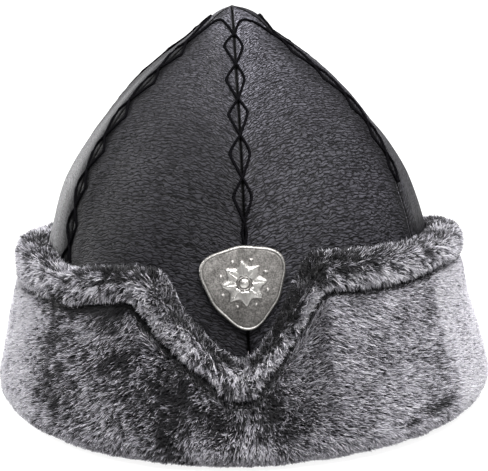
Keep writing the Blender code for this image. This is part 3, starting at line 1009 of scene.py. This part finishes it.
def band_face():
    """Surface of the band, from its inner lip under the rim and up to the crease."""
    _, crease, swell = stations(FACE_ANGLES)
    ones = np.ones(FACE_TURNS)
    marks = [(LIP_RADIUS * ones, LIP_HEIGHT * ones, 0.0008), (LIP_RADIUS * ones, 0 * ones, 0.0012),
             (REST_RADIUS * ones, 0 * ones, 0.0016)]
    turn = signed(FACE_ANGLES)
    hem = HEM_SWELL * bell(turn - HEM_ANGLE, 34) + HEM_FRONT * bell(turn, 32)
    for step in (20, 40, 60, 80):
        swing = math.radians(step)
        marks.append((REST_RADIUS + (MAX_RADIUS - REST_RADIUS + hem) * math.sin(swing),
                      FLARE_HEIGHT * (1 - math.cos(swing)) * ones, 0.0016 + 0.0034 * step / 80))
    for share in np.linspace(0, 1, 12)[:-1]:
        height = FLARE_HEIGHT + (crease - FLARE_HEIGHT) * share
        marks.append((cuff_radius(height) + swell * share
                      + hem * smoothstep(0.046, 0.010, height), height, 0.0050))
    marks.append((cuff_radius(crease) + swell - 0.0012, crease - 0.0012, 0.0040))
    marks.append((cuff_radius(crease) + swell - crease_depth(FACE_ANGLES), crease, 0.0015))
    return fur_face(marks)


def roll_face():
    """Surface of the rolled strip, from the crease up and over to the leather."""
    edge, crease, swell = stations(FACE_ANGLES)
    foot = crease + CREASE_GAP
    tall = edge - foot
    marks = [(cuff_radius(crease) + swell - crease_depth(FACE_ANGLES), foot, 0.0015)]
    for out, up in ROLL_OUTLINE:
        height = foot + tall * up
        inner = crown_radius(FACE_ANGLES, np.minimum(height, edge)) + SEATING
        outer = cuff_radius(height) + swell
        marks.append((inner + (outer - inner) * out, height, ROLL_DEPTH if 0.1 < out else 0.0020))
    return fur_face(marks)


def read_face(face, turn, place):
    """Points, normals and pile thickness of a face at turns and places from 0 to 1."""
    turn = np.mod(turn, 1) * FACE_TURNS
    place = np.clip(place, 0, 1) * (FACE_STEPS - 1)
    i = np.floor(turn).astype(int)
    j = np.minimum(np.floor(place).astype(int), FACE_STEPS - 2)
    a, b = (turn - i)[:, None], (place - j)[:, None]
    i0, i1 = i % FACE_TURNS, (i + 1) % FACE_TURNS
    found = []
    for grid in (face.points, face.normals, face.pile[..., None]):
        found.append(grid[i0, j] * (1 - a) * (1 - b) + grid[i1, j] * a * (1 - b)
                     + grid[i0, j + 1] * (1 - a) * b + grid[i1, j + 1] * a * b)
    return found[0], unit(found[1]), found[2][:, 0]


def length_at(face, turn):
    """Length of a face's section at turns."""
    place = np.mod(turn, 1) * FACE_TURNS
    low = np.floor(place).astype(int)
    share = place - low
    return mix(face.lengths[low % FACE_TURNS], face.lengths[(low + 1) % FACE_TURNS], share)


def lock_of(turn, way, shear, size, seed):
    """Lock that each hair belongs to: how far the hair is from its axis, and its numbers.

    Locks are long cells down the face that lean with the pile. The distance is a share
    of a turn.
    """
    around = int(round(2 * np.pi * MAX_RADIUS / size[0]))
    row = way / size[1]
    base_row = np.floor(row).astype(np.int64)
    best = np.full(len(turn), 1e9)
    offset = np.zeros(len(turn))
    numbers = np.zeros((4, len(turn)))
    for step_row in (-1, 0, 1):
        cell_row = base_row + step_row
        column = turn * around - shear * size[1] / size[0] * (row - cell_row - 0.5)
        base_column = np.floor(column).astype(np.int64)
        for step_column in (-1, 0, 1):
            cell = base_column + step_column
            found = np.array(chances(np.mod(cell, around), cell_row, seed))
            off = column - cell - found[2]
            away = off ** 2 + ((row - cell_row - found[3]) * 0.9) ** 2
            closer = away < best
            best = np.where(closer, away, best)
            offset = np.where(closer, off / around, offset)
            numbers = np.where(closer, found, numbers)
    return offset, numbers


# Hairs: their spacing and width, how far up they are widest, how they turn about their own
# axis (in radians), lean apart and stray from the pile, and how close they come to the floor.
HAIR_SPACING = 0.00046
HAIR_WIDTH = 0.00038
HAIR_MIDDLE = 0.45
HAIR_ROLL = 0.6
HAIR_STIR = 0.0006
HAIR_STRAY = 0.00040
FLOOR_GAP = 0.0002
# Hairs of the band and of the roll: how far they lie, the size and rise of their locks, and
# how far the locks point apart.
Pile = namedtuple("Pile", "reach lock rise stir")
BAND_PILE = Pile(0.0022, (0.00062, 0.0013), 0.0013, 0.0022)
ROLL_PILE = Pile(0.0022, (0.00078, 0.0015), 0.0023, 0.0040)
ROLL_LIP = 0.11
# Angles to either side between which the pile is painted pale as rim light, where it bends
# out of sight.
LIMB_START = 58.5
LIMB_FULL = 62.5
# Patches of the pile: angle, height, their spreads, and how much lighter they are. They are
# partly the pile's own mottling and partly painted light and shade, such as a highlight on a
# fold low on the left and the shade beside it.
PATCHES = (
    (-51, 0.065, 7.7, 0.0032, -0.62), (-38, 0.069, 5.6, 0.0027, -0.36),
    (-52, 0.056, 3.9, 0.0013, 0.42), (-41, 0.056, 4.7, 0.0013, 0.22),
    (-34, 0.042, 4.5, 0.011, -0.1), (-49, 0.02, 1, 0.0065, -0.6), (-18, 0.014, 4.1, 0.0092, -0.34),
    (-43, 0.04, 5.6, 0.0078, 0.1), (-30, 0.014, 5, 0.0057, 0.12), (-16, 0.038, 2.1, 0.006, -0.28),
    (-37, 0.083, 10, 0.0032, -0.34), (-43, 0.075, 12.3, 0.0028, 0.32),
    (-27, 0.085, 2.7, 0.004, -0.3), (-88, 0.083, 15, 0.006, -0.5), (25, 0.086, 8, 0.006, -0.42),
    (37, 0.077, 19.3, 0.0036, 0.14), (59, 0.085, 18.4, 0.0059, 0.04),
    (16, 0.083, 4.1, 0.008, -0.55), (10, 0.066, 3.2, 0.008, -0.68), (5, 0.06, 2.1, 0.0043, -0.4),
    (17, 0.071, 3.1, 0.004, 0.2), (13, 0.056, 1.9, 0.0051, 0.24), (38, 0.054, 7, 0.0047, -0.14),
    (52, 0.032, 3.2, 0.0079, -0.2), (57, 0.056, 1, 0.0131, 0.5), (43, 0.016, 7.2, 0.0021, -0.95),
    (37, 0.013, 3.4, 0.0019, -0.8), (3, 0.018, 3.9, 0.0026, -0.2), (20, 0.045, 9.1, 0.0081, 0.12),
    (4, 0.03, 9, 0.013, -0.27),
)


def comb(points, angle, reach, fall):
    """Way the pile lies: metres round the head and up the face from a hair's root to its tip."""
    side = np.tanh(angle / 14.0) * smoothstep(175, 120, np.abs(angle))
    calm = np.where(angle > 0, 0.55, 1.15)
    reach = reach * (1 + 0.25 * lump_noise(points, 0.010, 34))
    across = side * np.where(angle > 0, 0.95, 0.62) + calm * (
        0.45 * lump_noise(points, 0.016, 31) + 0.35 * lump_noise(points, 0.006, 32))
    down = -fall + calm * (
        0.45 * lump_noise(points, 0.014, 33) + 0.20 * lump_noise(points, 0.005, 35))
    size = np.hypot(across, down)
    return reach * across / size, reach * down / size


def pile_tone(root, angle, place, is_roll, numbers, random):
    """Lightness of each hair, from 0 to 1: mottled by lock and by patch, with painted light by
    side.
    """
    calm = right_side(angle)
    right, height = angle > 0, root[:, 2]
    # Mottling, and painted light: how much lighter the pile is on the right.
    patch = 0.24 * lump_noise(root, 0.015, 51)
    patch += (0.20 - 0.10 * calm) * lump_noise(root, 0.0055, 52)
    patch += 0.32 * smoothstep(-15, 25, angle) - 0.15 - 0.08 * smoothstep(36, 50, angle)
    # Painted rim light: pale ends of the cuff, where it bends out of sight, with a ragged limit
    # in degrees.
    ragged_line = np.where(right, 4.0, 9.0) * (numbers[2] - 0.5)
    bent = np.where(right, angle + 4.5 + 1.8 * smoothstep(0.060, 0.032, height), -angle)
    limb = smoothstep(LIMB_START, LIMB_FULL, 4 * lump_noise(root, 0.004, 53) + ragged_line + bent)
    limb *= 1 - 0.55 * smoothstep(105, 150, np.abs(angle))
    pale = np.where(right, 0.47 - 0.18 * smoothstep(60, 76, angle), 0.62)
    patch += limb * (0.10 if is_roll else pale - 0.45 * (numbers[3] < 0.09))
    if is_roll:
        # Finer mottling, then painted light and shade: paler low down and darker over the top, and
        # darker to the right.
        patch += 0.36 * lump_noise(root, 0.0032, 54)
        patch += 0.18 * smoothstep(0.50, 0.20, place) * (1 - 0.55 * left_arm(angle))
        patch -= np.where(right, 0.18, 0.08) * smoothstep(0.45, 0.70, place)
        patch += 0.20 * smoothstep(0, -20, angle) - 0.22 * smoothstep(30, 42, angle)
    else:
        # Shadow under the crease.
        patch -= (0.55 - 0.35 * left_cheek(angle)) * smoothstep(0.966, 0.986, place)
    # Painted light: paler low down near the rim. Then the patches, which are uneven.
    patch += (0.20 - 0.06 * calm) * smoothstep(0.024, 0.012, height)
    uneven = 1 + 0.9 * lump_noise(root, 0.0040, 55)
    for spot_angle, spot_height, wide, tall, change in PATCHES:
        patch += change * uneven * bell(angle - spot_angle, wide, height - spot_height, tall)
    # Locks are light or dark, more of them light where patch is high, and hairs vary.
    dark_share = 0.50 - patch
    light = smoothstep(dark_share - 0.10, dark_share + 0.10, numbers[1])
    spread = random.normal(0, 0.16, len(angle)) * (1 + 0.35 * calm)
    contrast = 0.76 if is_roll else 0.62 - 0.20 * calm
    tone = 0.43 + contrast * (light - 0.5) + 0.50 * patch + spread
    return np.clip(tone, 0.02, 0.98)


def sow(face, random):
    """Turns and places of the hairs' roots, with their radius and their section's length."""
    longest = face.lengths.max()
    around = int(2 * np.pi * MAX_RADIUS / HAIR_SPACING)
    up = int(longest / HAIR_SPACING)
    turn, place = np.meshgrid(np.arange(around), np.arange(up), indexing="ij")
    turn = (turn.ravel() + random.random(turn.size)) / around
    place = (place.ravel() + random.random(place.size)) / up
    root, _, _ = read_face(face, turn, place)
    length = length_at(face, turn)
    radius = np.hypot(root[:, 0], root[:, 1])
    kept = random.random(len(turn)) < radius * length / (MAX_RADIUS * longest)
    return [values[kept] for values in (turn, place, radius, length)]


def blades(root, middle, tip, normal, random):
    """Four points of each hair: its root, its two sides half way up and its tip."""
    for group in (root, middle, tip):
        group[:, 2] = np.maximum(group[:, 2], FLOOR_GAP)
    axis = unit(tip - root)
    flat = unit(np.cross(axis, normal))
    other = np.cross(axis, flat)
    roll = random.normal(0, HAIR_ROLL, len(root))
    wide = flat * np.cos(roll)[:, None] + other * np.sin(roll)[:, None]
    wide *= (HAIR_WIDTH * random.uniform(0.35, 0.65, len(root)))[:, None]
    points = np.stack([root, middle + wide, middle - wide, tip], 1)
    points[..., 2] = np.maximum(points[..., 2], FLOOR_GAP)
    return points


def grow_fur(face, is_roll, seed):
    """Hairs as narrow leaves: their points, their map and their turns round the head."""
    random = np.random.default_rng(seed)
    turn, place, radius, length = sow(face, random)
    root, normal, pile = read_face(face, turn, place)
    angle = signed(turn * 360)
    count = len(turn)
    kind = ROLL_PILE if is_roll else BAND_PILE
    lean, drop = comb(root, angle, kind.reach, 0.90 if is_roll else 0.60 - 0.22 * (angle > 8))
    if is_roll:
        # Over the top hairs turn towards the leather. Low on the left arm they are short.
        upright = smoothstep(0.60, 0.95, place)
        lean, drop = lean * (1 - 0.5 * upright), drop * (1 - 1.5 * upright)
        short = 1 - 0.35 * smoothstep(0.45, 0.20, place) * left_arm(angle)
        lean, drop = lean * short, drop * short
    # The hairs of a lock lie alike, and their tips gather towards its axis.
    shear = np.clip(lean / np.minimum(drop, -0.0008), -1.6, 1.6)
    wobble = 0.0016 * lump_noise(root, 0.007, 36)
    offset, numbers = lock_of(turn, place * length + wobble, shear, kind.lock, seed)
    stretch = 0.65 + 0.7 * numbers[0]
    lean = lean * stretch + kind.stir * (numbers[2] - 0.5) + random.normal(0, HAIR_STIR, count)
    drop = (drop * stretch + kind.stir * 0.7 * (numbers[3] - 0.5)
            + random.normal(0, HAIR_STIR, count))
    gather = (0.60 + 0.30 * numbers[3]) * (1 - 0.35 * right_side(angle))
    tip_turn = turn - offset * gather + lean / (2 * np.pi * radius)
    tip_place = place + drop / length
    mid_turn = mix(turn, tip_turn, HAIR_MIDDLE)
    mid_place = mix(place, tip_place, HAIR_MIDDLE)
    # The pile's surface is uneven by place and by lock, and single hairs stand out of it.
    depth = np.clip(pile / ROLL_DEPTH, 0.15, 1)
    swell = (0.0010 * lump_noise(root, 0.011, 41) + 0.0005 * lump_noise(root, 0.0048, 42)
             + kind.rise * (numbers[0] - 0.5)) * depth
    mid, mid_normal, mid_pile = read_face(face, mid_turn, mid_place)
    tip, tip_normal, _ = read_face(face, tip_turn, tip_place)
    tidy = 1.25 if is_roll else 1 - 0.5 * smoothstep(50, 62, np.abs(angle))
    swell *= np.minimum(tidy, 1)
    stray = np.abs(random.normal(0, HAIR_STRAY, count)) * depth * tidy
    root_point = root - normal * (pile * 0.95)[:, None]
    mid_point = mid + mid_normal * (swell * 0.7 - mid_pile * 0.38)[:, None]
    tip_point = tip + tip_normal * (swell + stray - 0.0004)[:, None]
    if is_roll:
        # Tips hang over the crease and stand up against the leather.
        hang = np.clip(ROLL_LIP - tip_place, 0, 0.10) * length * (0.3 + 0.7 * numbers[3])
        hang *= 1 - 0.6 * left_arm(angle)
        tip_point[:, 2] -= np.where(place > 0.05, hang, 0)
        tip_point[:, 2] += np.clip(tip_place - 0.97, 0, 0.08) * length * (0.3 + 0.7 * numbers[3])
    points = blades(root_point, mid_point, tip_point, mid_normal, random)
    tone = pile_tone(root, angle, place, is_roll, numbers, random)
    maps = np.empty((count, 4, 2))
    maps[..., 0] = tone[:, None] + np.array([0, -0.004, 0.004, 0])
    maps[..., 1] = np.array([0.0, 0.5, 0.5, 1.0])
    return points, maps, turn


def add_fur(face, is_roll, seed, label, parts, finish):
    """Add the hairs of a face in a few pieces, each a sector of the hat."""
    points, maps, turn = grow_fur(face, is_roll, seed)
    for part in range(parts):
        kept = (turn >= part / parts) & (turn < (part + 1) / parts)
        count = int(kept.sum())
        first = np.arange(count)[:, None] * 4
        faces = np.concatenate([first + [0, 1, 2], first + [1, 3, 2]])
        piece = make_mesh(f"{label}_{part + 1}", points[kept].reshape(-1, 3), faces, (finish,),
                          maps={"OFBake": maps[kept].reshape(-1, 2)})
        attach(piece, "root")


# Backing: how many of a face's turns it skips to the next, and steps up its section.
BACKING_STRIDE = 3
BACKING_STEPS = 34
# How far the backing's seats stop short of the cuff's edge, crease and lip.
SEAT_INSET = 0.0015


def add_backing(face, name, replaced, seat, finish):
    """Closed backing under the pile, down to the crown."""
    steps = np.unique(np.linspace(0, FACE_STEPS - 1, BACKING_STEPS).astype(int))
    outer = (face.points - face.normals * face.pile[..., None])[:, steps]
    section = np.concatenate([outer, seat], axis=1)[::BACKING_STRIDE]
    rows, columns = section.shape[:2]
    faces = grid_faces(rows + 1, columns, wrap=True) % (rows * columns)
    made = make_mesh(name, section.reshape(-1, 3), faces, (finish,))
    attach(made, "root")
    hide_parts(replaced)


def seat_points(low, high, count):
    """Points up or down the crown, behind the cuff."""
    share = np.linspace(0, 1, count)
    height = mix(low[:, None], high[:, None], share)
    radius = crown_radius(FACE_ANGLES[:, None], height) + SEATING
    return polar(FACE_ANGLES[:, None], radius, height)


def build_cuff():
    """Fur band and rolled strip: backing and pile of each."""
    fur, backing = fur_material(), backing_material()
    edge, crease, _ = stations(FACE_ANGLES)
    lip = np.full(FACE_TURNS, LIP_HEIGHT + SEAT_INSET)
    band, roll = band_face(), roll_face()
    add_backing(band, "cuff_band_backing", "cuff_band",
                seat_points(crease - SEAT_INSET, lip, 5), backing)
    add_backing(roll, "cuff_roll_backing", "cuff_roll",
                seat_points(edge - 2 * SEAT_INSET, crease + SEAT_INSET, 4), backing)
    add_fur(band, False, 5, "cuff_band_pile", 4, fur)
    add_fur(roll, True, 6, "cuff_roll_pile", 2, fur)


def badge_frame():
    """Place of the badge: X across it, Y up it and Z out of it, on the leather."""
    slant = float(crown_slant(BADGE_HEIGHT))
    seat = Vector(polar(0, crown_radius(0, BADGE_HEIGHT), BADGE_HEIGHT))
    outward = Vector((0, -math.cos(slant), math.sin(slant)))
    across = Vector((1, 0, 0))
    turned = Matrix((across, outward.cross(across), outward)).transposed().to_4x4()
    return Matrix.Translation(seat + outward * CLEARANCE) @ turned


def badge_reach(turn):
    """Distance from the badge's middle to its outline."""
    swing = np.radians(turn + 90)
    return (BADGE_REACH + BADGE_CORNER_REACH * np.cos(3 * swing)
            + BADGE_FULLNESS * np.cos(6 * swing))


def bead(distance, width):
    """Half-round ridge, 1 in its middle and 0 past its width."""
    return np.sqrt(np.clip(1 - (distance / width) ** 2, 0, 1))


def badge_rim(inset):
    """Height of the badge's rim over its field, at a distance in from its outline."""
    return RIM_RISE * bead(inset - RIM_INSET, RIM_WIDTH)


def badge_ornament(turn, radius):
    """Height of the rosette over the badge's field."""
    boss = 0.0013 * bead(radius, 0.0023)
    collar = 0.00045 * bead(radius - 0.0029, 0.00038)
    swing = np.radians(turn) * PETALS / 2
    cross = np.abs(np.sin(swing)) * radius * 2 / PETALS
    share = np.clip((radius - PETAL_START) / (PETAL_END - PETAL_START), 0, 1)
    width = 0.00235 * np.sin(np.pi * share ** 0.75) ** 0.7 + 1e-5
    petal = bead(cross, width)
    vein = 0.00022 * bell(cross, 0.00022)
    inside = (radius > PETAL_START) & (radius < PETAL_END)
    petal = np.where(inside, 0.00085 * petal - vein * (petal > 0.3), 0)
    between = np.abs(np.cos(swing)) * radius * 2 / PETALS
    drop = 0.0005 * bead(np.hypot(between, radius - 0.0107), 0.00075)
    return np.maximum.reduce([np.full(len(turn), max(boss, collar)), petal, drop])


def badge_rings(turn):
    """Radii and heights of the badge, ring by ring from its middle out, round and to its pin."""
    reach = badge_reach(turn)
    rings = [(radius, BADGE_FIELD_HEIGHT + badge_ornament(turn, radius))
             for radius in np.linspace(0.0002, ORNAMENT_REACH, 58)]
    rings += [(mix(ORNAMENT_REACH, reach - 0.0016, share), BADGE_FIELD_HEIGHT)
              for share in np.linspace(0, 1, 8)[1:]]
    rings += [(reach - inset, BADGE_FIELD_HEIGHT - 0.0001 + badge_rim(inset))
              for inset in np.linspace(0.00145, 0.00025, 12)]
    rings += [(reach - inset, height) for inset, height in (
        (0.00008, 0.00145), (0.0, 0.0012), (0.0, 0.0004), (0.0003, 0.0))]
    rings += [(PIN_RADIUS, height) for height in (0.0, -PIN_LENGTH + 0.0006)]
    return [np.array([np.broadcast_to(ring[part], turn.shape) for ring in rings])
            for part in (0, 1)]


def build_badge(finish):
    """Cast plate with its rim, its ornament and the pin on its back."""
    sides = BADGE_SIDES
    turn = np.arange(sides) * 360 / sides
    radius, height = badge_rings(turn)
    rings = len(radius)
    swing = np.radians(turn + BADGE_TURN)
    offset = np.where(np.arange(rings) < rings - 2, BADGE_OFFSET, 0.0)[:, None]
    points = np.stack([
        offset + radius * np.cos(swing), radius * np.sin(swing), height], -1).reshape(-1, 3)
    middle = [BADGE_OFFSET, 0, BADGE_FIELD_HEIGHT + 0.0013]
    points = np.concatenate([points, [middle, [0, 0, -PIN_LENGTH]]])
    triangles = halves(grid_faces(rings, sides, wrap=True)[:, ::-1])
    side = np.arange(sides)
    beside = (side + 1) % sides
    last = (rings - 1) * sides
    first_cap = np.stack([side, beside, np.full(sides, len(points) - 2)], -1)
    last_cap = np.stack([last + beside, last + side, np.full(sides, len(points) - 1)], -1)
    levels = np.clip((points[:, 2] - BADGE_FIELD_HEIGHT + 0.0003) / 0.0014, 0, 1)
    made = make_mesh("badge_pewter", points, np.concatenate([triangles, first_cap, last_cap]),
                     (finish,), maps={"Height": np.stack([levels * 0 + 0.5, levels], -1)})
    made.matrix_world = badge_frame()
    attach(made, "root")
    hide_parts("badge")


def build_hat():
    """Make every visible piece of the hat."""
    leather, suede = leather_material(), suede_material()
    for gore in GORES:
        build_gore(gore, leather, suede)
    build_threads(thread_material())
    build_cuff()
    build_badge(pewter_material())
    steel = steel_material()
    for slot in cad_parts["badge_clutch"].material_slots:
        slot.material = steel


def add_camera():
    """Camera at the photograph's angle."""
    turn, tilt = math.radians(CAMERA_AZIMUTH), math.radians(CAMERA_ELEVATION)
    away = Vector((math.cos(tilt) * math.sin(turn), -math.cos(tilt) * math.cos(turn),
                   math.sin(tilt)))
    right = Vector((math.cos(turn), math.sin(turn), 0))
    place = CAMERA_TARGET + away * CAMERA_DISTANCE
    aim = CAMERA_TARGET + right * CAMERA_AIM[0] + away.cross(right) * CAMERA_AIM[1]
    back = (place - aim).normalized()
    right = Vector((0, 0, 1)).cross(back).normalized()
    turned = Matrix((right, back.cross(right), back)).transposed().to_4x4()
    lens = bpy.data.cameras.new("photo_camera")
    lens.lens = CAMERA_LENS
    lens.sensor_fit = "HORIZONTAL"
    lens.sensor_width = 36
    lens.clip_end = 50
    camera = bpy.data.objects.new("photo_camera", lens)
    camera.matrix_world = (
        Matrix.Translation(place) @ turned @ Matrix.Rotation(math.radians(-CAMERA_ROLL), 4, "Z"))
    bpy.context.scene.collection.objects.link(camera)
    bpy.context.scene.camera = camera


def add_area(name, place, target_height, size, power):
    """Square soft box at a place, facing a point on the hat's axis."""
    light = bpy.data.lights.new(name, "AREA")
    light.shape = "RECTANGLE"
    light.size = light.size_y = size
    light.energy = power
    made = bpy.data.objects.new(name, light)
    made.location = place
    away = Vector(place) - Vector((0, 0, target_height))
    made.rotation_euler = away.to_track_quat("Z", "Y").to_euler()
    bpy.context.scene.collection.objects.link(made)


def add_studio():
    """Pale floor, bright room and soft boxes."""
    floor_mesh = bpy.data.meshes.new("floor")
    floor_mesh.from_pydata([(x * FLOOR_REACH, y * FLOOR_REACH, 0) for x, y in (
        (-1, -1), (1, -1), (1, 1), (-1, 1))], [], [(0, 1, 2, 3)])
    floor = bpy.data.objects.new("floor", floor_mesh)
    bpy.context.scene.collection.objects.link(floor)
    floor_mesh.materials.append(new_finish("floor_paper").done(
        Base_Color=(0.16, 0.16, 0.16, 1), Roughness=0.9,
        Emission_Color=(1, 1, 1, 1), Emission_Strength=FLOOR_GLOW))
    world = bpy.data.worlds.new("studio")
    sky = Finish(world)
    x, y = sky.parts(sky.out("TexCoord", "Generated"))
    glow = y * ROOM_BACK + x * ROOM_RIGHT + ROOM_GLOW
    plug(sky.nodes["Background"].inputs["Strength"], glow)
    bpy.context.scene.world = world
    for box in SOFT_BOXES:
        add_area(*box)
    bpy.context.scene.view_settings.view_transform = "Standard"


build_hat()
add_camera()
add_studio()
bpy.context.view_layer.update()
